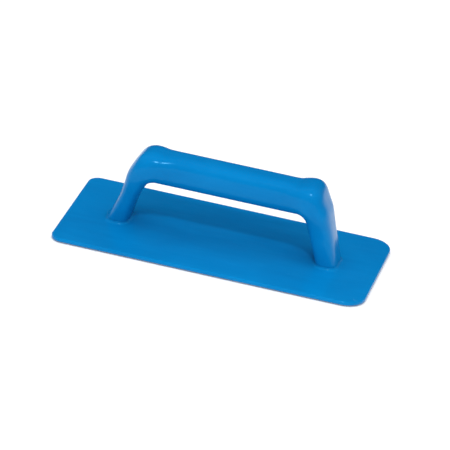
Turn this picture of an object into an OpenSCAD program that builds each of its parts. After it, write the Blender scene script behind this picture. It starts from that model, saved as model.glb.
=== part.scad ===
// Hand pad holder for sanding and scrubbing flat surfaces: a rectangular plate,
// a hollow bow handle with a snap-in cover, two screws, and a hook face below.
// The right leg and the right shoulder are fuller than the left ones.
// Origin: middle of the hook face's underside. X is the length, Z is up.

/* [Base plate] */
// Length of the plate
plate_len = 250; // [235:1:270]
// Width of the plate
plate_wid = 120; // [100:1:140]
// Thickness of the plate at its edge
plate_t = 3; // [2.8:0.1:4]
// Corner radius at the left end
corner_left = 9.5; // [8:0.5:20]
// Corner radius at the right end
corner_right = 16.5; // [8:0.5:20]
// Rounding of the plate's upper edge
edge_r = 1.2; // [0.6:0.1:1.5]
// Width of the rim round the hook sheet's recess
rim_w = 3; // [2.5:0.5:6]
// Depth of the recess below the plate
recess_d = 1; // [0.8:0.1:1.2]

/* [Hook face] */
// Thickness of the hook sheet, with its hooks
hook_t = 2; // [1.6:0.1:2.4]
// Thickness of the adhesive film
film_t = 0.3; // [0.2:0.05:0.5]
// Gap between the hook sheet and the rim
sheet_gap = 0.4; // [0.2:0.1:1]

/* [Handle] */
// Height of the grip's middle line above the plate
grip_h = 50.6; // [48:0.1:56]
// Distance from the middle to each shoulder
shoulder_x = 69.2; // [66:0.1:72]
// Distance from the middle to each foot
foot_x = 85; // [82:0.1:88]
// Bend radius of the middle line at the shoulders
shoulder_r = 17.5; // [15:0.5:21]
// Half the height of the grip
grip_half_h = 12.8; // [12:0.1:14.5]
// Half the width of the grip
grip_half_w = 13; // [12:0.1:17]
// Half the thickness of the handle at its shoulders
shoulder_half_h = 10.4; // [10:0.1:13]
// Half the width of the handle at its shoulders
shoulder_half_w = 18; // [14:0.1:22]
// Half the thickness of the left leg
leg_left_half_h = 7; // [7:0.1:9]
// Half the thickness of the right leg
leg_right_half_h = 9.2; // [7:0.1:10]
// Half the width of a leg
leg_half_w = 14.5; // [12:0.1:17]
// Half the thickness of a foot
foot_half_h = 8.6; // [8.4:0.1:9.2]
// Half the width of a foot
foot_half_w = 14.2; // [12:0.1:16]
// How far the left shoulder rises over the grip
shoulder_left_rise = 3.2; // [0:0.1:5.5]
// How far the right shoulder rises over the grip
shoulder_right_rise = 5.5; // [0:0.1:5.5]
// Squareness of the handle's section: 2 is an ellipse
squareness = 3.1; // [2.3:0.1:3.3]
// Wall of the moulded handle
wall = 2.4; // [2.2:0.1:2.6]

/* [Handle cover] */
// Half angle of the slot that the cover closes
slot_half_angle = 34; // [30:1:38]
// Half angle of the cover's flange behind the slot's lips
flange_half_angle = 46; // [44:1:50]
// Gap round the cover
cover_gap = 0.15; // [0.1:0.05:0.2]
// Thickness of the cover's flange
flange_t = 1.4; // [1.2:0.1:1.5]

/* [Foot sockets] */
// Radius of the fillet round each foot
flare_r = 2.2; // [2:0.1:3]
// Depth of each socket's step on the leg
spigot_step = 1.2; // [1:0.1:1.4]
// Gap between a foot and its socket
socket_gap = 0.1; // [0.05:0.05:0.2]
// Height of the socket's floor above the plate
floor_h = 0.8; // [0.6:0.1:1]

/* [Screws] */
// Thread diameter
screw_d = 3.95; // [3.5:0.05:4]
// Core diameter of the thread
screw_core = 2.9; // [2.6:0.1:3]
// Length with the head
screw_len = 11.5; // [11:0.5:12]
// Diameter of the countersunk head
screw_head_d = 7.6; // [7:0.1:7.8]
// Pitch of the thread
screw_pitch = 1.4; // [1.2:0.1:1.6]
// Diameter of the screw boss in each foot
boss_d = 7.6; // [7:0.1:7.8]

/* [Hidden] */
$fn = 64;
blue = [0.0, 0.42, 0.74];
film_top = hook_t + film_t;
rim_z = film_top - recess_d;
plate_top = rim_z + plate_t;
grip_z = plate_top + grip_h;
socket_floor = plate_top + floor_h;
flare_top = plate_top + flare_r;
bore_top = film_top + screw_len + 0.5;
boss_top = bore_top + 1.5;
bore_d = screw_d + 0.1;
clear_d = 4.4;
expo = 2/squareness;

// ---- middle line of one half of the handle, by distance s from the middle ----
leg_v = [foot_x - shoulder_x, -grip_h];
leg_u = leg_v/norm(leg_v);
turn = acos(leg_u[0]);
cut = shoulder_r*tan(turn/2);
s_grip = shoulder_x - cut;
s_arc = s_grip + shoulder_r*turn*PI/180;
leg_0 = [shoulder_x, grip_z] + cut*leg_u;
s_foot = s_arc + norm([foot_x, plate_top] - leg_0);
function s_at(z) = s_arc + (z - leg_0[1])/leg_u[1];
function mid(s) = s < s_grip ? [s, grip_z]
    : s < s_arc ? let(w = (s - s_grip)/shoulder_r*180/PI) [s_grip + shoulder_r*sin(w), grip_z - shoulder_r + shoulder_r*cos(w)]
    : leg_0 + leg_u*(s - s_arc);
function slope(s) = s < s_grip ? 0 : s < s_arc ? (s - s_grip)/shoulder_r*180/PI : turn;
// the section's plane turns until it lies level at the foot
s_lvl0 = s_arc - 4;
s_lvl1 = s_at(flare_top + 3);
function ease(x) = let(c = max(0, min(1, x))) c*c*(3 - 2*c);
function tilt(s) = slope(s) + (90 - turn)*ease((s - s_lvl0)/(s_lvl1 - s_lvl0));

// ---- half sizes along the middle line: smooth curves through five stations ----
stations = [0, 0.72*s_grip, 0.5*(s_grip + s_arc), s_arc + 0.45*(s_foot - s_arc), s_foot];
half_h_left = [grip_half_h, grip_half_h, shoulder_half_h, leg_left_half_h, foot_half_h];
half_h_right = [grip_half_h, grip_half_h, shoulder_half_h, leg_right_half_h, foot_half_h];
half_w = [grip_half_w, grip_half_w, shoulder_half_w, leg_half_w, foot_half_w];
function sec_slope(v, i) = (v[i+1] - v[i])/(stations[i+1] - stations[i]);
function knot_slope(v, i) = i == 0 ? 0 : i == 4 ? sec_slope(v, 3)
    : let(a = sec_slope(v, i-1), b = sec_slope(v, i)) a*b <= 0 ? 0 : 2*a*b/(a + b);
function seg(s, i = 0) = i >= 3 || s <= stations[i+1] ? i : seg(s, i+1);
function along(v, s) = let(i = seg(s), d = stations[i+1] - stations[i], t = min(1.2, (s - stations[i])/d),
    a = v[i], b = v[i+1], ma = knot_slope(v, i)*d, mb = knot_slope(v, i+1)*d)
    a*(1 - 3*t*t + 2*t*t*t) + b*(3*t*t - 2*t*t*t) + ma*(t - 2*t*t + t*t*t) + mb*(t*t*t - t*t);
rise_c = s_grip + 0.33*(s_arc - s_grip);
function rise(s) = let(q = abs(s)) (s < 0 ? shoulder_left_rise : shoulder_right_rise)*exp(-pow((q - rise_c)/(q < rise_c ? 6.5 : 5.5), 2));
function spow(v) = v < 0 ? -pow(-v, expo) : v > 0 ? pow(v, expo) : 0;

// a point of the handle at distance s, section angle a (90 is outward), d below the surface
function pt(s, a, d) = let(q = abs(s), g = s < 0 ? -1 : 1, m = mid(q), p = tilt(q), f = spow(sin(a)),
    u = (f*(along(s < 0 ? half_h_left : half_h_right, q) - d) + max(0, f)*rise(s))/cos(p - slope(q)))
    [g*(m[0] + sin(p)*u), (along(half_w, q) - d)*spow(cos(a)), m[1] + cos(p)*u];

// ---- stations of the swept pieces ----
s_step = s_at(flare_top);
s_end = s_at(socket_floor);
n_grip = 9; n_arc = 11; n_leg = 8;
half_s = concat([for (i = [0:n_grip-1]) s_grip*pow(i/n_grip, 0.8)],
    [for (i = [0:n_arc-1]) s_grip + (s_arc - s_grip)*i/n_arc],
    [for (i = [0:n_leg-1]) s_arc + (s_step - s_arc)*i/n_leg]);
// each entry: distance along the handle, and how far the outside steps in
half_e = concat([for (s = half_s) [s, 0]], [[s_step - 0.03, 0], [s_step, spigot_step], [s_end, spigot_step]]);
full_e = concat([for (i = [len(half_e)-1:-1:1]) [-half_e[i][0], half_e[i][1]]], half_e);

// joins equal rings of points into a closed skin, with capping strips at both ends
function skin_faces(n, p) = [for (i = [0:n-2], j = [0:p-1], k = [0, 1]) let(a = i*p + j, b = i*p + (j+1)%p, c = a + p, e = b + p)
    k == 0 ? [a, c, b] : [b, c, e]];
// caps of a ring whose first half of points faces its second half
function strip_caps(n, p) = [for (k = [0, 1], i = [0:p/2-2]) let(o = k*(n-1)*p, a = o + i, b = o + i + 1, c = o + p - 2 - i, e = o + p - 1 - i)
    each (k == 0 ? [[a, b, e], [b, c, e]] : [[b, a, e], [c, b, e]])];
module strip_skin(rings) {
    n = len(rings); p = len(rings[0]);
    polyhedron([for (r = rings) each r], concat(skin_faces(n, p), strip_caps(n, p)), convexity = 8);
}
// a closed skin of level rings that run upward, with flat ends; each ring turns clockwise from above
module level_skin(rings) {
    n = len(rings); p = len(rings[0]);
    polyhedron([for (i = [n-1:-1:0]) each rings[i]],
        concat(skin_faces(n, p), [for (j = [1:p-2]) [0, j, j+1]], [for (j = [1:p-2]) [(n-1)*p, (n-1)*p + j + 1, (n-1)*p + j]]), convexity = 4);
}

// ---- plate outline and edge ----
module outline(inset = 0) {
    x = plate_len/2; y = plate_wid/2; l = corner_left; r = corner_right;
    union() {
        translate([-x + l, -y + inset]) square([plate_len - l - r, plate_wid - 2*inset]);
        translate([-x + inset, -y + l]) square([l, plate_wid - 2*l]);
        translate([x - inset - r, -y + r]) square([r, plate_wid - 2*r]);
        for (g = [-1, 1]) {
            translate([-x + l, g*(y - l)]) circle(l - inset);
            translate([x - r, g*(y - r)]) circle(r - inset);
        }
    }
}
module edge_profile(w) {
    square([w - edge_r, plate_t]);
    square([w, plate_t - edge_r]);
    translate([w - edge_r, plate_t - edge_r]) circle(edge_r);
}
module rounded_plate() {
    x = plate_len/2; y = plate_wid/2; l = corner_left; r = corner_right; m = max(l, r);
    union() {
        // middle slab
        translate([-x + l, -y + m, 0]) cube([plate_len - l - r, plate_wid - 2*m, plate_t]);
        // long edges
        for (g = [0, 1]) mirror([0, g, 0]) translate([-x + l, y - m, 0]) rotate([90, 0, 90])
            linear_extrude(plate_len - l - r) edge_profile(m);
        // short edges
        translate([-x + l, y - l, 0]) rotate([90, 0, 0]) mirror([1, 0, 0]) linear_extrude(plate_wid - 2*l) edge_profile(l);
        translate([x - r, y - r, 0]) rotate([90, 0, 0]) linear_extrude(plate_wid - 2*r) edge_profile(r);
        // corners
        for (g = [0, 1]) mirror([0, g, 0]) {
            translate([-x + l, y - l, 0]) rotate([0, 0, 90]) rotate_extrude(angle = 90) edge_profile(l);
            translate([x - r, y - r, 0]) rotate_extrude(angle = 90) edge_profile(r);
        }
    }
}

module hook_sheet() {
    color([0.10, 0.10, 0.11])
    linear_extrude(hook_t) outline(rim_w + sheet_gap);
}

module adhesive_film() {
    color([0.85, 0.85, 0.80])
    translate([0, 0, hook_t]) linear_extrude(film_t) outline(rim_w + sheet_gap);
}

// level ring of a foot at height z, moved out by o
n_ring = 48;
function foot_ring(z, o, g) = [for (j = [0:n_ring-1]) let(p = pt(g*s_at(z), g*j*360/n_ring, -o)) [p[0], p[1], z]];
module foot_flare(g) {
    angles = [16, 28, 41, 54, 67, 79, 90];
    level_skin(concat([foot_ring(plate_top - 0.6, flare_r*(1 - sin(angles[0])), g)],
        [for (a = angles) foot_ring(plate_top + flare_r*(1 - cos(a)), flare_r*(1 - sin(a)), g)]));
}
module foot_pocket(g) {
    level_skin([for (z = [socket_floor, 0.5*(socket_floor + flare_top), flare_top + 0.4]) foot_ring(z, socket_gap - spigot_step, g)]);
}

module base_plate() {
    color(blue)
    difference() {
        union() {
            translate([0, 0, rim_z]) rounded_plate();
            for (g = [-1, 1]) foot_flare(g);
        }
        // recess for the hook sheet
        translate([0, 0, rim_z - 1]) linear_extrude(recess_d + 1) outline(rim_w);
        for (g = [-1, 1]) {
            foot_pocket(g);
            // countersunk screw holes
            translate([g*foot_x, 0, film_top - 0.5]) cylinder(d = clear_d, h = socket_floor - film_top + 1);
            translate([g*foot_x, 0, film_top - 0.01]) cylinder(d1 = screw_head_d + 0.9, d2 = clear_d, h = 2.2);
        }
    }
}

// ---- handle: an open shell whose slot faces the fingers ----
n_sec = 26;
function shell_angle(i) = -90 + slot_half_angle + (360 - 2*slot_half_angle)*i/(n_sec - 1);
shell_rings = [for (e = full_e) concat(
    [for (i = [0:n_sec-1]) pt(e[0], shell_angle(i), e[1])],
    [for (i = [n_sec-1:-1:0]) pt(e[0], shell_angle(i), wall)])];
module rib(x) {
    // a web across the hollow, from the top wall down to just over the cover's flange
    a = [for (i = [0:16]) -28 + i*236/16];
    translate([x - 0.8, 0, 0]) rotate([90, 0, 90]) linear_extrude(1.6)
        polygon([for (t = a) let(p = pt(abs(x), t, wall - 0.8)) [p[1], p[2]]]);
}
module handle_shell() {
    color(blue)
    difference() {
        union() {
            strip_skin(shell_rings);
            for (x = [-36, 0, 36]) rib(x);
            for (g = [-1, 1]) {
                translate([g*foot_x, 0, socket_floor]) cylinder(d = boss_d, h = boss_top - socket_floor);
                // webs that tie the boss to the leg's walls
                translate([g*foot_x - 0.8, -foot_half_w + wall - 0.7, socket_floor]) cube([1.6, 2*(foot_half_w - wall + 0.7), 9]);
                translate([g > 0 ? foot_x : -foot_x - foot_half_h + wall + 0.5, -0.8, socket_floor]) cube([foot_half_h - wall - 0.5, 1.6, 6]);
            }
        }
        for (g = [-1, 1]) translate([g*foot_x, 0, socket_floor - 1]) cylinder(d = bore_d, h = bore_top - socket_floor + 1);
    }
}

// ---- cover: a strip flush between the lips, with a flange that snaps in behind them ----
function gap_angle(s) = slot_half_angle - cover_gap/along(half_w, abs(s))*180/PI*1.3;
function cover_ring(s, d) = let(g = gap_angle(s), f = flange_half_angle, i0 = wall + cover_gap, i1 = wall + cover_gap + flange_t) concat(
    [pt(s, -90 - g, i0)], [for (i = [0:8]) pt(s, -90 - g + 2*g*i/8, d)], [pt(s, -90 + g, i0), pt(s, -90 + f, i0)],
    [for (i = [0:9]) pt(s, -90 + f - 2*f*i/9, i1)], [pt(s, -90 - f, i0)]);
function cover_caps(n) = let(p = 23) [for (k = [0, 1]) let(o = k*(n-1)*p) each [for (t = concat(
    // the strip: points 0 to 10, closed across the neck; the flange: 10 to 22 and 0
    [for (i = [1:8]) [0, i, i+1]], [[0, 9, 10]],
    [[0, 10, 22], [10, 11, 22]], [for (i = [0:4]) [11+i, 12+i, 22-i]], [for (i = [0:3]) [12+i, 21-i, 22-i]], [[16, 17, 18]]))
    k == 0 ? [o+t[0], o+t[1], o+t[2]] : [o+t[1], o+t[0], o+t[2]]]];
module handle_grip_cover() {
    rings = [for (e = full_e) cover_ring(e[0], e[1])];
    n = len(rings); p = len(rings[0]);
    color(blue)
    polyhedron([for (r = rings) each r], concat(skin_faces(n, p), cover_caps(n)), convexity = 8);
}

// ---- countersunk self-tapping screws, driven up from below ----
module screw() {
    r = screw_d/2; c = screw_core/2; h = screw_head_d/2; turns = floor((screw_len - 6)/screw_pitch);
    z0 = 3;
    difference() {
        rotate_extrude() polygon(concat([[0, 0], [h, 0], [h, 0.25], [c, 2.4], [c, z0]],
            [for (i = [0:turns-1]) each [[r, z0 + (i + 0.35)*screw_pitch], [r, z0 + (i + 0.45)*screw_pitch], [c, z0 + (i + 0.8)*screw_pitch], [c, z0 + (i + 1)*screw_pitch]]],
            [[c, screw_len - 2.2], [0, screw_len]]));
        // cross recess
        for (a = [0, 90]) rotate([0, 0, a]) translate([-2.1, -0.45, -1]) cube([4.2, 0.9, 2.3]);
    }
}
module handle_screws() {
    color([0.72, 0.73, 0.75])
    for (g = [-1, 1]) translate([g*foot_x, 0, film_top + 0.05]) screw();
}

hook_sheet();
adhesive_film();
base_plate();
handle_shell();
handle_grip_cover();
handle_screws();
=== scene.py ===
import bpy, math, random
import numpy as np
from mathutils import Vector, Matrix


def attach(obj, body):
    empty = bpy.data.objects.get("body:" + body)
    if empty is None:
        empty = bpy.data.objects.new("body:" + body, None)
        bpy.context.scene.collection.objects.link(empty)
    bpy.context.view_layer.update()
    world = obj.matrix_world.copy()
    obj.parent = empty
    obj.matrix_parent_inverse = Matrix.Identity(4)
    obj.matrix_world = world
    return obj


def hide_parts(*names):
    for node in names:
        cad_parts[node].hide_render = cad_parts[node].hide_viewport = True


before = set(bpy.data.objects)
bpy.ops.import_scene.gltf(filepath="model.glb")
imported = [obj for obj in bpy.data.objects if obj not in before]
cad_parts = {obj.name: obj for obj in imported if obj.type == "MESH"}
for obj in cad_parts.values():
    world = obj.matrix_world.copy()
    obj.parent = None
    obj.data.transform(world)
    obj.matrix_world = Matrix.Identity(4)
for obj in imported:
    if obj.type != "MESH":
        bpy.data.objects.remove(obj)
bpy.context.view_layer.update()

MM = 0.001

# ---------------------------------------------------------------- sizes, as in the CAD model (mm)
L, W, T = 250.0, 120.0, 3.0
CL, CR, ER = 9.5, 16.5, 1.2
RIM, REC = 3.0, 1.0
HOOK_T, FILM_T, GAP = 2.0, 0.3, 0.4
RIM_Z = HOOK_T + FILM_T - REC
TOP = RIM_Z + T
GRIP_H, SHX, FX, SHR = 50.6, 69.2, 85.0, 17.5
HH_L = [12.8, 12.8, 10.4, 7.0, 8.6]
HH_R = [12.8, 12.8, 10.4, 9.2, 8.6]
HW = [13.0, 13.0, 18.0, 14.5, 14.2]
RISE_L, RISE_R, SQ, WALL = 3.2, 5.5, 3.1, 2.4
SLOT, FLG, CGAP, FLT = 34.0, 46.0, 0.15, 1.4
FLARE, STEP, SGAP, FLOOR_H = 2.2, 1.2, 0.1, 0.8
GZ = TOP + GRIP_H
SOCK = TOP + FLOOR_H
FTOP = TOP + FLARE
EXPO = 2.0 / SQ

# ---------------------------------------------------------------- the handle's surface, as a function
d2 = math.hypot(FX - SHX, GRIP_H)
LU = ((FX - SHX) / d2, -GRIP_H / d2)
TURN = math.acos(LU[0])
CUT = SHR * math.tan(TURN / 2)
S_G = SHX - CUT
S_A = S_G + SHR * TURN
LEG0 = (SHX + CUT * LU[0], GZ + CUT * LU[1])
S_F = S_A + math.hypot(FX - LEG0[0], TOP - LEG0[1])


def s_at(z):
    return S_A + (z - LEG0[1]) / LU[1]


def mid(s):
    if s < S_G:
        return s, GZ
    if s < S_A:
        w = (s - S_G) / SHR
        return S_G + SHR * math.sin(w), GZ - SHR + SHR * math.cos(w)
    return LEG0[0] + LU[0] * (s - S_A), LEG0[1] + LU[1] * (s - S_A)


def slope(s):
    return 0.0 if s < S_G else (s - S_G) / SHR if s < S_A else TURN


LV0, LV1 = S_A - 4, s_at(FTOP + 3)


def ease(x):
    c = max(0.0, min(1.0, x))
    return c * c * (3 - 2 * c)


def tilt(s):
    return slope(s) + (math.pi / 2 - TURN) * ease((s - LV0) / (LV1 - LV0))


ST = [0, 0.72 * S_G, 0.5 * (S_G + S_A), S_A + 0.45 * (S_F - S_A), S_F]


def sec_slope(v, i):
    return (v[i + 1] - v[i]) / (ST[i + 1] - ST[i])


def knot_slope(v, i):
    if i == 0:
        return 0.0
    if i == 4:
        return sec_slope(v, 3)
    a, b = sec_slope(v, i - 1), sec_slope(v, i)
    return 0.0 if a * b <= 0 else 2 * a * b / (a + b)


def along(v, s):
    i = 0
    while i < 3 and s > ST[i + 1]:
        i += 1
    d = ST[i + 1] - ST[i]
    t = min(1.2, (s - ST[i]) / d)
    ma, mb = knot_slope(v, i) * d, knot_slope(v, i + 1) * d
    return (v[i] * (1 - 3 * t * t + 2 * t ** 3) + v[i + 1] * (3 * t * t - 2 * t ** 3)
            + ma * (t - 2 * t * t + t ** 3) + mb * (t ** 3 - t * t))


RC = S_G + 0.33 * (S_A - S_G)


def rise(s):
    q = abs(s)
    return (RISE_L if s < 0 else RISE_R) * math.exp(-((q - RC) / (6.5 if q < RC else 5.5)) ** 2)


def spow(v):
    return math.copysign(abs(v) ** EXPO, v) if abs(v) > 1e-12 else 0.0


def pt(s, a, d):
    """point at distance s along the handle, section angle a in degrees, d mm below the surface"""
    q, g = abs(s), (-1 if s < 0 else 1)
    m, p = mid(q), tilt(q)
    sa, ca = math.sin(math.radians(a)), math.cos(math.radians(a))
    f = spow(sa)
    u = (f * (along(HH_L if s < 0 else HH_R, q) - d) + max(0.0, f) * rise(s)) / math.cos(p - slope(q))
    return (g * (m[0] + math.sin(p) * u), (along(HW, q) - d) * spow(ca), m[1] + math.cos(p) * u)


# ---------------------------------------------------------------- mesh helpers
def mesh_object(name, verts, faces, smooth=True):
    me = bpy.data.meshes.new(name)
    me.from_pydata([(x * MM, y * MM, z * MM) for x, y, z in verts], [], faces)
    me.validate()
    me.update()
    ob = bpy.data.objects.new(name, me)
    bpy.context.scene.collection.objects.link(ob)
    if smooth:
        me.polygons.foreach_set("use_smooth", [True] * len(me.polygons))
    return ob


def recalc(ob):
    import bmesh
    bm = bmesh.new()
    bm.from_mesh(ob.data)
    bmesh.ops.recalc_face_normals(bm, faces=bm.faces)
    bm.to_mesh(ob.data)
    bm.free()


def loft(rings, closed=True):
    """verts and quads of rings of equal length"""
    n, p = len(rings), len(rings[0])
    v = [q for r in rings for q in r]
    f = []
    for i in range(n - 1):
        for j in range(p if closed else p - 1):
            k = (j + 1) % p
            f.append((i * p + j, (i + 1) * p + j, (i + 1) * p + k, i * p + k))
    return v, f


def sharp_by_angle(ob, deg):
    """marks edges sharper than deg, so that smooth shading stops at them"""
    ob.data.set_sharp_from_angle(angle=math.radians(deg))


# ---------------------------------------------------------------- stations of the handle, evenly spaced
S_STEP, S_END = s_at(FTOP), s_at(SOCK)


def half_stations(step):
    n = int(round((S_STEP - 1.2) / step))
    return [(S_STEP - 1.2) * i / n for i in range(n + 1)]


def handle_entries(step):
    """(distance, outside step-in) from one foot to the other, with a fine rounded edge over the socket"""
    half = [(s, 0.0) for s in half_stations(step)]
    half += [(S_STEP - 0.5, 0.0), (S_STEP - 0.25, 0.02), (S_STEP - 0.09, 0.10), (S_STEP - 0.02, 0.26),
             (S_STEP, 0.45), (S_STEP, STEP), (0.5 * (S_STEP + S_END), STEP), (S_END - 0.3, STEP), (S_END, STEP + 0.25)]
    return [(-s, e) for s, e in half[:0:-1]] + half


# ---------------------------------------------------------------- handle shell
def lip_deg(s, mm):
    """how many degrees of section angle mm is at the slot's lip"""
    a = -90 + SLOT
    p, q = pt(s, a, 0), pt(s, a + 1, 0)
    return mm / math.dist(p, q)


def make_shell():
    N = 92
    rings = []
    for s, e in handle_entries(1.15):
        one = lip_deg(s, 1.0)
        lo, hi = -90 + SLOT, 270 - SLOT
        # rounded lip, outside, rounded lip, inside
        outer = [(lo, 0.30), (lo + 0.05 * one, 0.15), (lo + 0.15 * one, 0.05), (lo + 0.30 * one, 0.0)]
        span = (hi - 0.30 * one) - (lo + 0.30 * one)
        outer += [(lo + 0.30 * one + span * i / N, 0.0) for i in range(1, N)]
        outer += [(hi - 0.30 * one, 0.0), (hi - 0.15 * one, 0.05), (hi - 0.05 * one, 0.15), (hi, 0.30)]
        ring = [pt(s, a, min(WALL - 0.3, e + d)) for a, d in outer]
        inner = [(hi - (hi - lo) * i / 60.0, WALL) for i in range(61)]
        ring += [pt(s, a, d) for a, d in inner]
        rings.append(ring)
    v, f = loft(rings)
    n, p = len(rings), len(rings[0])
    me_faces = f + [tuple(range(p - 1, -1, -1)), tuple((n - 1) * p + j for j in range(p))]
    ob = mesh_object("handle_shell_moulding", v, me_faces)
    recalc(ob)
    sharp_by_angle(ob, 50)
    return ob


# ---------------------------------------------------------------- cover on the finger side
def make_cover():
    rings = []
    for s, e in handle_entries(1.15):
        one = lip_deg(s, 1.0)
        g = SLOT - CGAP * one
        i0, i1 = WALL + CGAP, WALL + CGAP + FLT
        pts = [(-90 - g, i0), (-90 - g, 1.2), (-90 - g, 0.30), (-90 - g + 0.05 * one, 0.15), (-90 - g + 0.15 * one, 0.05), (-90 - g + 0.30 * one, 0.0)]
        w = g - 0.30 * one
        pts += [(-90 - w + 2 * w * i / 26.0, 0.0) for i in range(1, 26)]
        pts += [(-90 + w, 0.0), (-90 + g - 0.15 * one, 0.05), (-90 + g - 0.05 * one, 0.15), (-90 + g, 0.30), (-90 + g, 1.2), (-90 + g, i0)]
        ring = [pt(s, a, (min(i0, e + d) if d < i0 else d)) for a, d in pts]
        back = [(-90 + FLG, i0), (-90 + FLG, i0 + 0.3)] + [(-90 + FLG - 0.6 - 2 * (FLG - 0.6) * i / 20.0, i1) for i in range(21)] + [(-90 - FLG, i0 + 0.3), (-90 - FLG, i0)]
        ring += [pt(s, a, d) for a, d in back]
        rings.append(ring)
    v, f = loft(rings)
    n, p = len(rings), len(rings[0])
    ob = mesh_object("handle_grip_cover_moulding", v, f + [tuple(range(p - 1, -1, -1)), tuple((n - 1) * p + j for j in range(p))])
    recalc(ob)
    sharp_by_angle(ob, 50)
    return ob


# ---------------------------------------------------------------- base plate with its two flared sockets
NR = 96


def foot_ring(z, o, g, zref=None):
    return [pt(g * s_at(z if zref is None else zref), g * j * 360.0 / NR, -o)[:2] + (z,) for j in range(NR)]


def circle_ring(r, z, g):
    return [(g * (FX + r * math.sin(2 * math.pi * j / NR)) if g > 0 else -FX + r * math.sin(2 * math.pi * j / NR), r * math.cos(2 * math.pi * j / NR), z) for j in range(NR)]


def outline_ring(inset, z):
    pts = []
    for cx, cy, r, a0 in ((L / 2 - CR, W / 2 - CR, CR, 0), (-L / 2 + CL, W / 2 - CL, CL, 90), (-L / 2 + CL, -W / 2 + CL, CL, 180), (L / 2 - CR, -W / 2 + CR, CR, 270)):
        for k in range(25):
            a = math.radians(a0 + 90 * k / 24.0)
            pts.append((cx + max(0.05, r - inset) * math.cos(a), cy + max(0.05, r - inset) * math.sin(a), z))
    out = []
    for i, p in enumerate(pts):
        q = pts[(i + 1) % len(pts)]
        out.append(p)
        d = math.dist(p, q)
        if d > 20:
            m = 24 if (i // 25) % 2 == 0 else 12
            out += [(p[0] + (q[0] - p[0]) * k / m, p[1] + (q[1] - p[1]) * k / m, z) for k in range(1, m)]
    return out


def make_plate():
    import bmesh
    bm = bmesh.new()

    def add_ring(r):
        return [bm.verts.new((x * MM, y * MM, z * MM)) for x, y, z in r]

    def bridge(a, b):
        n = len(a)
        for j in range(n):
            k = (j + 1) % n
            try:
                bm.faces.new((a[j], b[j], b[k], a[k]))
            except ValueError:
                pass

    def chain(rings):
        vs = [add_ring(r) for r in rings]
        for a, b in zip(vs, vs[1:]):
            bridge(a, b)
        return vs

    # outer edge: top, round, side, rim, recess wall
    prof = [(5.0, TOP), (1.5, TOP)]
    prof += [(ER * (1 - math.sin(t)), TOP - ER * (1 - math.cos(t))) for t in [math.radians(x) for x in (0, 11, 22, 33, 45, 57, 68, 79, 90)]]
    prof += [(0.0, RIM_Z + 0.9), (0.0, RIM_Z + 0.35), (0.1, RIM_Z + 0.1), (0.35, RIM_Z), (RIM - 0.25, RIM_Z), (RIM - 0.06, RIM_Z + 0.06), (RIM, RIM_Z + 0.25), (RIM, FILM_T + HOOK_T - 0.15), (RIM + 0.15, FILM_T + HOOK_T), (RIM + 3.0, FILM_T + HOOK_T)]
    edge = chain([outline_ring(i, z) for i, z in prof])
    tops, unders = [edge[0]], [edge[-1]]
    for g in (-1, 1):
        rings = [foot_ring(TOP, FLARE + 2.0, g), foot_ring(TOP, FLARE + 0.25, g)]
        for t in [math.radians(x) for x in range(0, 91, 6)]:
            z = TOP + FLARE * (1 - math.cos(t))
            rings.append(foot_ring(min(z, FTOP - 0.42) if t > 1.4 else z, FLARE * (1 - math.sin(t)), g))
        zz = rings[-1][0][2]
        rings = [r for r in rings if r[0][2] <= zz + 1e-9]
        rings += [foot_ring(FTOP - 0.25, 0.0, g), foot_ring(FTOP - 0.09, -0.09, g), foot_ring(FTOP - 0.02, -0.25, g), foot_ring(FTOP, -0.45, g),
                  foot_ring(FTOP, -STEP + SGAP, g), foot_ring(SOCK + 0.3, -STEP + SGAP, g), foot_ring(SOCK, -STEP + SGAP - 0.3, g),
                  circle_ring(3.2, SOCK, g), circle_ring(2.2, SOCK - 0.05, g), circle_ring(2.2, FILM_T + HOOK_T + 2.19, g), circle_ring(4.25, FILM_T + HOOK_T, g), circle_ring(6.5, FILM_T + HOOK_T, g)]
        vs = chain(rings)
        tops.append(vs[0])
        unders.append(vs[-1])
    for loops in (tops, unders):
        es = []
        for lp in loops:
            for j in range(len(lp)):
                a, b = lp[j], lp[(j + 1) % len(lp)]
                es.append(bm.edges.get((a, b)) or bm.edges.new((a, b)))
        bmesh.ops.triangle_fill(bm, use_beauty=True, use_dissolve=False, edges=es)
    bmesh.ops.remove_doubles(bm, verts=bm.verts, dist=1e-7)
    bmesh.ops.recalc_face_normals(bm, faces=bm.faces)
    me = bpy.data.meshes.new("base_plate_moulding")
    bm.to_mesh(me)
    bad = [e for e in bm.edges if len(e.link_faces) != 2]
    print("base plate: faces", len(bm.faces), "open or crowded edges", len(bad))
    bm.free()
    ob = bpy.data.objects.new("base_plate_moulding", me)
    bpy.context.scene.collection.objects.link(ob)
    me.polygons.foreach_set("use_smooth", [True] * len(me.polygons))
    sharp_by_angle(ob, 50)
    return ob


# ---------------------------------------------------------------- hook sheet: a backing and its moulded hooks
def inside(x, y, inset):
    """is a point inside the plate's outline, moved in by inset"""
    hx, hy = L / 2 - inset, W / 2 - inset
    if abs(x) > hx or abs(y) > hy:
        return False
    r = (CL if x < 0 else CR) - inset
    r = max(r, 0.5)
    dx, dy = abs(x) - (hx - r), abs(y) - (hy - r)
    return not (dx > 0 and dy > 0 and dx * dx + dy * dy > r * r)


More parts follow.
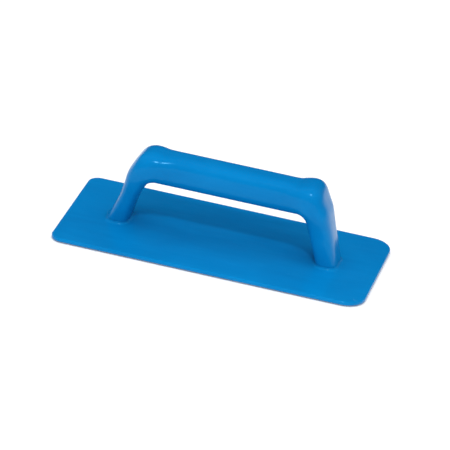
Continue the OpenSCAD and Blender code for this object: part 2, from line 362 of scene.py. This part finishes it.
def make_hooks():
    rnd = random.Random(7)
    BZ = 1.35            # underside of the backing
    verts, faces = [], []
    # backing slab with a soft edge
    i0 = RIM + GAP
    rings = [outline_ring(i0 + 6, HOOK_T), outline_ring(i0 + 0.15, HOOK_T), outline_ring(i0, HOOK_T - 0.15), outline_ring(i0, BZ + 0.15), outline_ring(i0 + 0.15, BZ), outline_ring(i0 + 6, BZ)]
    v, f = loft(rings)
    n, p = len(rings), len(rings[0])
    verts += v
    faces += f + [tuple(range(p - 1, -1, -1)), tuple((n - 1) * p + j for j in range(p))]
    pitch = 2.6
    sides = 5
    nx, ny = int(L / pitch) + 2, int(W / (pitch * 0.9)) + 2
    count = 0
    for iy in range(-ny // 2, ny // 2 + 1):
        for ix in range(-nx // 2, nx // 2 + 1):
            x = (ix + 0.5 * (iy % 2)) * pitch + rnd.uniform(-0.12, 0.12)
            y = iy * pitch * 0.9 + rnd.uniform(-0.12, 0.12)
            if not inside(x, y, i0 + 1.3):
                continue
            count += 1
            d = 1 if iy % 2 else -1
            yaw = rnd.uniform(-0.25, 0.25) + (0 if d > 0 else math.pi)
            lean = rnd.uniform(-0.06, 0.06)
            cy, sy = math.cos(yaw), math.sin(yaw)
            # centre line in its own plane: up a stem, round, and back to a tip; h is measured down from the backing
            path = [(0.0, -0.12, 0.34), (0.0, 0.25, 0.22), (0.02, 0.62, 0.19), (0.10, 0.98, 0.18), (0.32, 1.18, 0.17), (0.60, 1.10, 0.15), (0.74, 0.84, 0.10)]
            base = len(verts)
            for k, (px, h, r) in enumerate(path):
                a = path[max(0, k - 1)]
                b = path[min(len(path) - 1, k + 1)]
                tx, th = b[0] - a[0], b[1] - a[1]
                tl = math.hypot(tx, th)
                tx, th = tx / tl, th / tl
                nx_, nh = -th, tx
                for m in range(sides):
                    an = 2 * math.pi * (m + 0.5) / sides
                    u, w = r * math.cos(an), r * math.sin(an)
                    lx, lh, lw = px + nx_ * u + lean * h, h + nh * u, w
                    verts.append((x + cy * lx - sy * lw, y + sy * lx + cy * lw, max(0.0, BZ - lh)))
            for k in range(len(path) - 1):
                for m in range(sides):
                    q = (m + 1) % sides
                    faces.append((base + k * sides + m, base + k * sides + q, base + (k + 1) * sides + q, base + (k + 1) * sides + m))
            faces.append(tuple(base + m for m in range(sides - 1, -1, -1)))
            e = base + (len(path) - 1) * sides
            faces.append(tuple(e + m for m in range(sides)))
    low = min(q[2] for q in verts)
    verts = [(q[0], q[1], q[2] - low * (1 - q[2] / HOOK_T)) for q in verts]     # the lowest hook touches the floor
    ob = mesh_object("hook_sheet_moulding", verts, faces)
    recalc(ob)
    sharp_by_angle(ob, 60)
    print("hooks", count, "faces", len(ob.data.polygons))
    return ob


# ---------------------------------------------------------------- materials
class Nodes:
    """a short way to write node trees"""

    def __init__(self, name):
        self.m = bpy.data.materials.new(name)
        self.m.use_nodes = True
        self.t = self.m.node_tree
        self.t.nodes.clear()
        self.out = self.add("ShaderNodeOutputMaterial")
        self.b = self.add("ShaderNodeBsdfPrincipled")
        self.link(self.b.outputs[0], self.out.inputs["Surface"])
        self.co = self.add("ShaderNodeTexCoord").outputs["Object"]

    def add(self, kind, **props):
        n = self.t.nodes.new(kind)
        for k, v in props.items():
            setattr(n, k, v)
        return n

    def link(self, a, b):
        self.t.links.new(a, b)

    def put(self, socket, v):
        if hasattr(v, "is_output"):
            self.link(v, socket)
        else:
            socket.default_value = v

    def math(self, op, a, b=0.0, c=0.0, clamp=False):
        n = self.add("ShaderNodeMath", operation=op, use_clamp=clamp)
        for i, v in enumerate((a, b, c)):
            self.put(n.inputs[i], v)
        return n.outputs[0]

    def mapped(self, scale, rot=(0, 0, 0), loc=(0, 0, 0)):
        n = self.add("ShaderNodeMapping")
        n.inputs["Location"].default_value = loc
        n.inputs["Rotation"].default_value = rot
        n.inputs["Scale"].default_value = scale
        self.link(self.co, n.inputs["Vector"])
        return n.outputs[0]

    def noise(self, scale, detail=3.0, rough=0.5, vec=None, dist=0.0):
        n = self.add("ShaderNodeTexNoise")
        self.link(vec if vec is not None else self.co, n.inputs["Vector"])
        n.inputs["Scale"].default_value = scale
        n.inputs["Detail"].default_value = detail
        n.inputs["Roughness"].default_value = rough
        n.inputs["Distortion"].default_value = dist
        return n.outputs["Fac"]

    def range(self, v, a, b, c=0.0, d=1.0, smooth=False):
        n = self.add("ShaderNodeMapRange", interpolation_type="SMOOTHSTEP" if smooth else "LINEAR")
        for i, x in enumerate((v, a, b, c, d)):
            self.put(n.inputs[i], x)
        return n.outputs[0]

    def mix(self, f, a, b):
        n = self.add("ShaderNodeMix", data_type="RGBA")
        self.put(n.inputs[0], f)
        self.put(n.inputs[6], a)
        self.put(n.inputs[7], b)
        return n.outputs[2]

    def bump(self, height, dist, strength=1.0, normal=None):
        n = self.add("ShaderNodeBump")
        n.inputs["Strength"].default_value = strength
        n.inputs["Distance"].default_value = dist
        self.link(height, n.inputs["Height"])
        if normal is not None:
            self.link(normal, n.inputs["Normal"])
        return n.outputs[0]


def rgba(r, g, b):
    return (r, g, b, 1.0)


def blue_plastic(name, seed, along_x=True):
    """glossy moulded polypropylene: flow marks, a very fine grain, hairline scratches, rubbed edges, and painted shade
    darkening the inner corners
    """
    n = Nodes(name)
    off = (0.37 * seed, 0.21 * seed, 0.11 * seed)
    # colour: slow flow variation and a fine pigment mottle
    slow = n.noise(1.0, 2.0, 0.5, n.mapped((14, 22, 18), loc=off), 0.6)
    flow = n.noise(1.0, 3.0, 0.55, n.mapped((20, 110, 60) if along_x else (90, 110, 20), loc=off), 0.8)
    mott = n.noise(900.0, 2.0, 0.6, n.mapped((1, 1, 1), loc=off))
    f = n.math("ADD", n.math("MULTIPLY", slow, 0.55), n.math("MULTIPLY", flow, 0.30))
    f = n.math("ADD", f, n.math("MULTIPLY", mott, 0.15))
    col = n.mix(n.range(f, 0.32, 0.68), BLUE_DEEP, BLUE_LIGHT)
    # edges: convex ones rubbed a little paler; inner corners painted a little darker, as painted shade
    geo = n.add("ShaderNodeNewGeometry")
    edge = n.range(geo.outputs["Pointiness"], 0.515, 0.60, smooth=True)
    patchy = n.range(n.noise(160.0, 4.0, 0.7, n.mapped((1, 1, 1), loc=off)), 0.42, 0.62, smooth=True)
    wear = n.math("MULTIPLY", edge, patchy)
    col = n.mix(n.math("MULTIPLY", wear, 0.14), col, BLUE_WORN)
    # painted shade: the colour darkens in concave creases and fillets, where shade falls
    crease_painted_shade = n.range(geo.outputs["Pointiness"], 0.49, 0.42, smooth=True)
    col = n.mix(n.math("MULTIPLY", crease_painted_shade, 0.35), col, BLUE_PAINTED_SHADE)
    # hairline scratches in three directions
    hair = None
    for k, (a, sc) in enumerate(((0.35, 1.0), (-0.55, 1.3), (1.25, 0.9))):
        v = n.mapped((95 * sc, 2600 * sc, 140), rot=(0.1 * k, 0.07 * k, a), loc=(off[0] + k, off[1], off[2]))
        s = n.range(n.noise(1.0, 1.0, 0.4, v), 0.745, 0.82, smooth=True)
        hair = s if hair is None else n.math("MAXIMUM", hair, s)
    zone = n.range(n.noise(16.0, 2.0, 0.5, n.mapped((1, 1, 1), loc=(off[1], off[0], 3))), 0.45, 0.70, smooth=True)
    hair = n.math("MULTIPLY", hair, zone)
    col = n.mix(n.math("MULTIPLY", hair, 0.05), col, BLUE_WORN)
    n.link(col, n.b.inputs["Base Color"])
    # roughness
    smear = n.noise(1.0, 4.0, 0.6, n.mapped((45, 70, 70), rot=(0, 0, 0.5), loc=off), 1.0)
    r = n.range(smear, 0.3, 0.72, ROUGH - 0.035, ROUGH + 0.05)
    r = n.math("ADD", r, n.math("MULTIPLY", wear, 0.12))
    r = n.math("ADD", r, n.math("MULTIPLY", hair, 0.10))
    n.link(r, n.b.inputs["Roughness"])
    # relief: sink marks and flow waves, then grain, then scratches
    wave = n.noise(1.0, 2.0, 0.45, n.mapped((26, 44, 44), loc=off), 0.3)
    grain = n.noise(2600.0, 3.0, 0.6, n.mapped((1, 1, 1), loc=off))
    pits = n.noise(750.0, 2.0, 0.5, n.mapped((1, 1, 1), loc=(off[2], off[1], off[0])))
    nm = n.bump(wave, 0.00028, 0.9)
    nm = n.bump(pits, 0.000018, 0.9, nm)
    nm = n.bump(grain, 0.000006, 0.9, nm)
    nm = n.bump(n.math("SUBTRACT", 1.0, hair), 0.000004, 0.5, nm)
    n.link(nm, n.b.inputs["Normal"])
    n.b.inputs["IOR"].default_value = 1.49
    n.b.inputs["Specular IOR Level"].default_value = 0.26
    n.b.inputs["Specular Tint"].default_value = SPEC_TINT
    return n.m


def nylon_hook(name):
    """black nylon: a woven backing, and smooth moulded hooks that stand out from it"""
    n = Nodes(name)
    sep = n.add("ShaderNodeSeparateXYZ")
    n.link(n.co, sep.inputs[0])
    x, y, z = sep.outputs
    back = n.range(z, 0.00128, 0.00134)
    # plain weave, 0.45 mm threads
    k = 2 * math.pi / 0.0009
    sx = n.math("SINE", n.math("MULTIPLY", x, k))
    sy = n.math("SINE", n.math("MULTIPLY", y, k))
    over = n.math("MULTIPLY", sx, sy)
    tx = n.math("ABSOLUTE", n.math("SINE", n.math("MULTIPLY", x, k)))
    ty = n.math("ABSOLUTE", n.math("SINE", n.math("MULTIPLY", y, k)))
    warp = n.range(over, -0.3, 0.3, smooth=True)
    h = n.math("ADD", n.math("MULTIPLY", warp, tx), n.math("MULTIPLY", n.math("SUBTRACT", 1.0, warp), ty))
    fibre = n.noise(1.0, 3.0, 0.6, n.mapped((700, 5200, 1200)))
    fuzz = n.noise(5200.0, 3.0, 0.65)
    hw = n.math("ADD", h, n.math("MULTIPLY", fuzz, 0.35))
    col = n.mix(n.range(hw, 0.1, 1.2), rgba(0.006, 0.006, 0.007), rgba(0.028, 0.028, 0.031))
    hook = n.mix(n.range(n.noise(90.0, 2.0), 0.3, 0.7), rgba(0.016, 0.016, 0.018), rgba(0.034, 0.034, 0.037))
    dust = n.range(n.noise(420.0, 3.0, 0.7), 0.62, 0.78, 0.0, 0.35, smooth=True)
    c = n.mix(back, hook, col)
    n.link(n.mix(dust, c, rgba(0.10, 0.10, 0.105)), n.b.inputs["Base Color"])
    n.link(n.range(back, 0.0, 1.0, 0.34, 0.82), n.b.inputs["Roughness"])
    nm = n.bump(n.math("MULTIPLY", hw, back), 0.00014, 1.0)
    nm = n.bump(fibre, 0.00001, 0.5, nm)
    n.link(nm, n.b.inputs["Normal"])
    n.b.inputs["IOR"].default_value = 1.53
    return n.m


def film(name):
    """translucent adhesive film, a little milky, with trapped air marks"""
    n = Nodes(name)
    a = n.noise(1.0, 4.0, 0.6, n.mapped((60, 60, 60)), 1.2)
    spots = n.range(n.noise(380.0, 2.0, 0.5), 0.60, 0.70, smooth=True)
    col = n.mix(n.range(a, 0.3, 0.7), rgba(0.64, 0.62, 0.53), rgba(0.80, 0.78, 0.70))
    n.link(n.mix(n.math("MULTIPLY", spots, 0.4), col, rgba(0.88, 0.87, 0.82)), n.b.inputs["Base Color"])
    n.link(n.range(a, 0.25, 0.75, 0.30, 0.48), n.b.inputs["Roughness"])
    n.link(n.bump(n.math("ADD", a, spots), 0.00005, 0.6), n.b.inputs["Normal"])
    return n.m


def zinc(name):
    """bright zinc plate on a rolled and pressed screw"""
    n = Nodes(name)
    cloud = n.noise(420.0, 4.0, 0.6)
    col = n.mix(n.range(cloud, 0.3, 0.7), rgba(0.54, 0.56, 0.60), rgba(0.74, 0.74, 0.73))
    warm = n.range(n.noise(230.0, 2.0, 0.5, n.mapped((1, 1, 1), loc=(2, 1, 0))), 0.5, 0.75, 0.0, 0.35, smooth=True)
    n.link(n.mix(warm, col, rgba(0.72, 0.66, 0.46)), n.b.inputs["Base Color"])
    brush = n.noise(1.0, 3.0, 0.6, n.mapped((400, 400, 9000)))
    n.link(n.range(brush, 0.3, 0.7, 0.24, 0.42), n.b.inputs["Roughness"])
    n.link(n.bump(n.math("ADD", brush, n.math("MULTIPLY", cloud, 0.4)), 0.00001, 0.8), n.b.inputs["Normal"])
    n.b.inputs["Metallic"].default_value = 1.0
    return n.m


BLUE_DEEP = rgba(0.0005, 0.160, 0.430)
BLUE_LIGHT = rgba(0.0010, 0.200, 0.510)
BLUE_WORN = rgba(0.070, 0.330, 0.660)
# colour of the painted shade in inner corners
BLUE_PAINTED_SHADE = rgba(0.0003, 0.130, 0.370)
SPEC_TINT = rgba(0.22, 0.70, 1.0)
ROUGH = 0.17

# ---------------------------------------------------------------- the pieces
shell = make_shell()
cover = make_cover()
plate = make_plate()
hooks = make_hooks()
for ob, node, mat, slot in (
        (shell, "handle_shell", blue_plastic("blue_plastic_handle", 1), "blue_plastic"),
        (cover, "handle_grip_cover", blue_plastic("blue_plastic_cover", 2), "blue_plastic"),
        (plate, "base_plate", blue_plastic("blue_plastic_base", 3), "blue_plastic"),
        (hooks, "hook_sheet", nylon_hook("hook_nylon_black"), "hook_nylon")):
    ob.data.materials.clear()
    ob.data.materials.append(mat)
    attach(ob, "root")
    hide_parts(node)
    print(ob.name, "verts", len(ob.data.vertices), "faces", len(ob.data.polygons))

for node, mat in (("adhesive_film", film("adhesive_film_clear")), ("handle_screws", zinc("zinc_plated_steel"))):
    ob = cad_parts[node]
    if not ob.material_slots:
        ob.data.materials.append(mat)
    for s in ob.material_slots:
        s.material = mat

# ---------------------------------------------------------------- floor
bpy.ops.mesh.primitive_plane_add(size=30.0, location=(0, 0, 0))
floor = bpy.context.object
floor.name = "floor"
fm = Nodes("floor_white")
fn = fm.noise(3.0, 2.0, 0.5)
fm.link(fm.mix(fn, rgba(0.90, 0.90, 0.90), rgba(0.92, 0.92, 0.92)), fm.b.inputs["Base Color"])
fm.b.inputs["Roughness"].default_value = 0.85
fm.b.inputs["Specular IOR Level"].default_value = 0.1
fm.b.inputs["Emission Color"].default_value = rgba(1, 1, 1)
fm.b.inputs["Emission Strength"].default_value = 0.10
floor.data.materials.append(fm.m)

# ---------------------------------------------------------------- camera
az, el, ro = (math.radians(a) for a in (10.976, 26.088, 7.618))
FPX, CXP, CYP, PXMM = 3966.27, 223.38, 239.055, 1.279
back = Vector((math.sin(az) * math.cos(el), -math.cos(az) * math.cos(el), math.sin(el)))
right = Vector((math.cos(az), math.sin(az), 0))
up = back.cross(right)
xi = right * math.cos(ro) + up * math.sin(ro)
yi = -right * math.sin(ro) + up * math.cos(ro)
D = FPX / PXMM * MM
Xc = (CXP - 225) * D / FPX
Yc = -(CYP - 225) * D / FPX
loc = Vector((0, 0, TOP * MM)) + back * D - xi * Xc - yi * Yc
cam_data = bpy.data.cameras.new("camera")
cam_data.sensor_width = 36.0
cam_data.lens = FPX * 36.0 / 450.0
cam_data.clip_start, cam_data.clip_end = 0.05, 100.0
cam_data.dof.use_dof = False
cam = bpy.data.objects.new("camera", cam_data)
bpy.context.scene.collection.objects.link(cam)
cam.matrix_world = Matrix(((xi.x, yi.x, back.x, loc.x), (xi.y, yi.y, back.y, loc.y), (xi.z, yi.z, back.z, loc.z), (0, 0, 0, 1)))
bpy.context.scene.camera = cam


# ---------------------------------------------------------------- lights
def softbox(name, azim, elev, dist, size, power, target=(0, 0, 0.03), color=(1, 1, 1)):
    """azim 0 is in front of the block, 90 to its right; power in W"""
    a, e = math.radians(azim), math.radians(elev)
    d = Vector((math.sin(a) * math.cos(e), -math.cos(a) * math.cos(e), math.sin(e)))
    ld = bpy.data.lights.new(name, "AREA")
    ld.shape = "RECTANGLE"
    ld.size, ld.size_y = size
    ld.energy = power
    ld.color = color
    ob = bpy.data.objects.new(name, ld)
    bpy.context.scene.collection.objects.link(ob)
    ob.location = Vector(target) + d * dist
    ob.rotation_euler = (-d).to_track_quat("-Z", "Y").to_euler()
    return ob


softbox("key", 8, 55, 1.6, (0.18, 0.13), 8.0)
fill = softbox("fill", 0, 75, 2.2, (4.6, 4.0), 49)
fill.visible_glossy = False          # an overhead sheet that lights the block and isn't mirrored in it

# a pale room all round, with a dark card behind the block, low down
world = bpy.data.worlds.new("studio") if not bpy.context.scene.world else bpy.context.scene.world
bpy.context.scene.world = world
world.use_nodes = True
wt = world.node_tree
bg = wt.nodes["Background"]
wc = wt.nodes.new("ShaderNodeTexCoord")
dot = wt.nodes.new("ShaderNodeVectorMath")
dot.operation = "DOT_PRODUCT"
wt.links.new(wc.outputs["Generated"], dot.inputs[0])
dot.inputs[1].default_value = Vector((-0.16, 0.89, 0.42)).normalized()
card = wt.nodes.new("ShaderNodeMapRange")
card.interpolation_type = "SMOOTHSTEP"
wt.links.new(dot.outputs["Value"], card.inputs[0])
card.inputs[1].default_value, card.inputs[2].default_value = math.cos(math.radians(52)), math.cos(math.radians(30))
card.inputs[3].default_value, card.inputs[4].default_value = 0.13, 0.01
# the room's walls are matt: they light the block more than they are mirrored in it
path = wt.nodes.new("ShaderNodeLightPath")
room = wt.nodes.new("ShaderNodeMath")
room.operation = "MULTIPLY_ADD"
wt.links.new(path.outputs["Is Diffuse Ray"], room.inputs[0])
room.inputs[1].default_value = 0.48
wt.links.new(card.outputs[0], room.inputs[2])
wt.links.new(room.outputs[0], bg.inputs[1])
bg.inputs[0].default_value = (1.0, 1.0, 1.0, 1.0)
bpy.context.scene.view_settings.view_transform = "Standard"
bpy.context.scene.view_settings.look = "None"
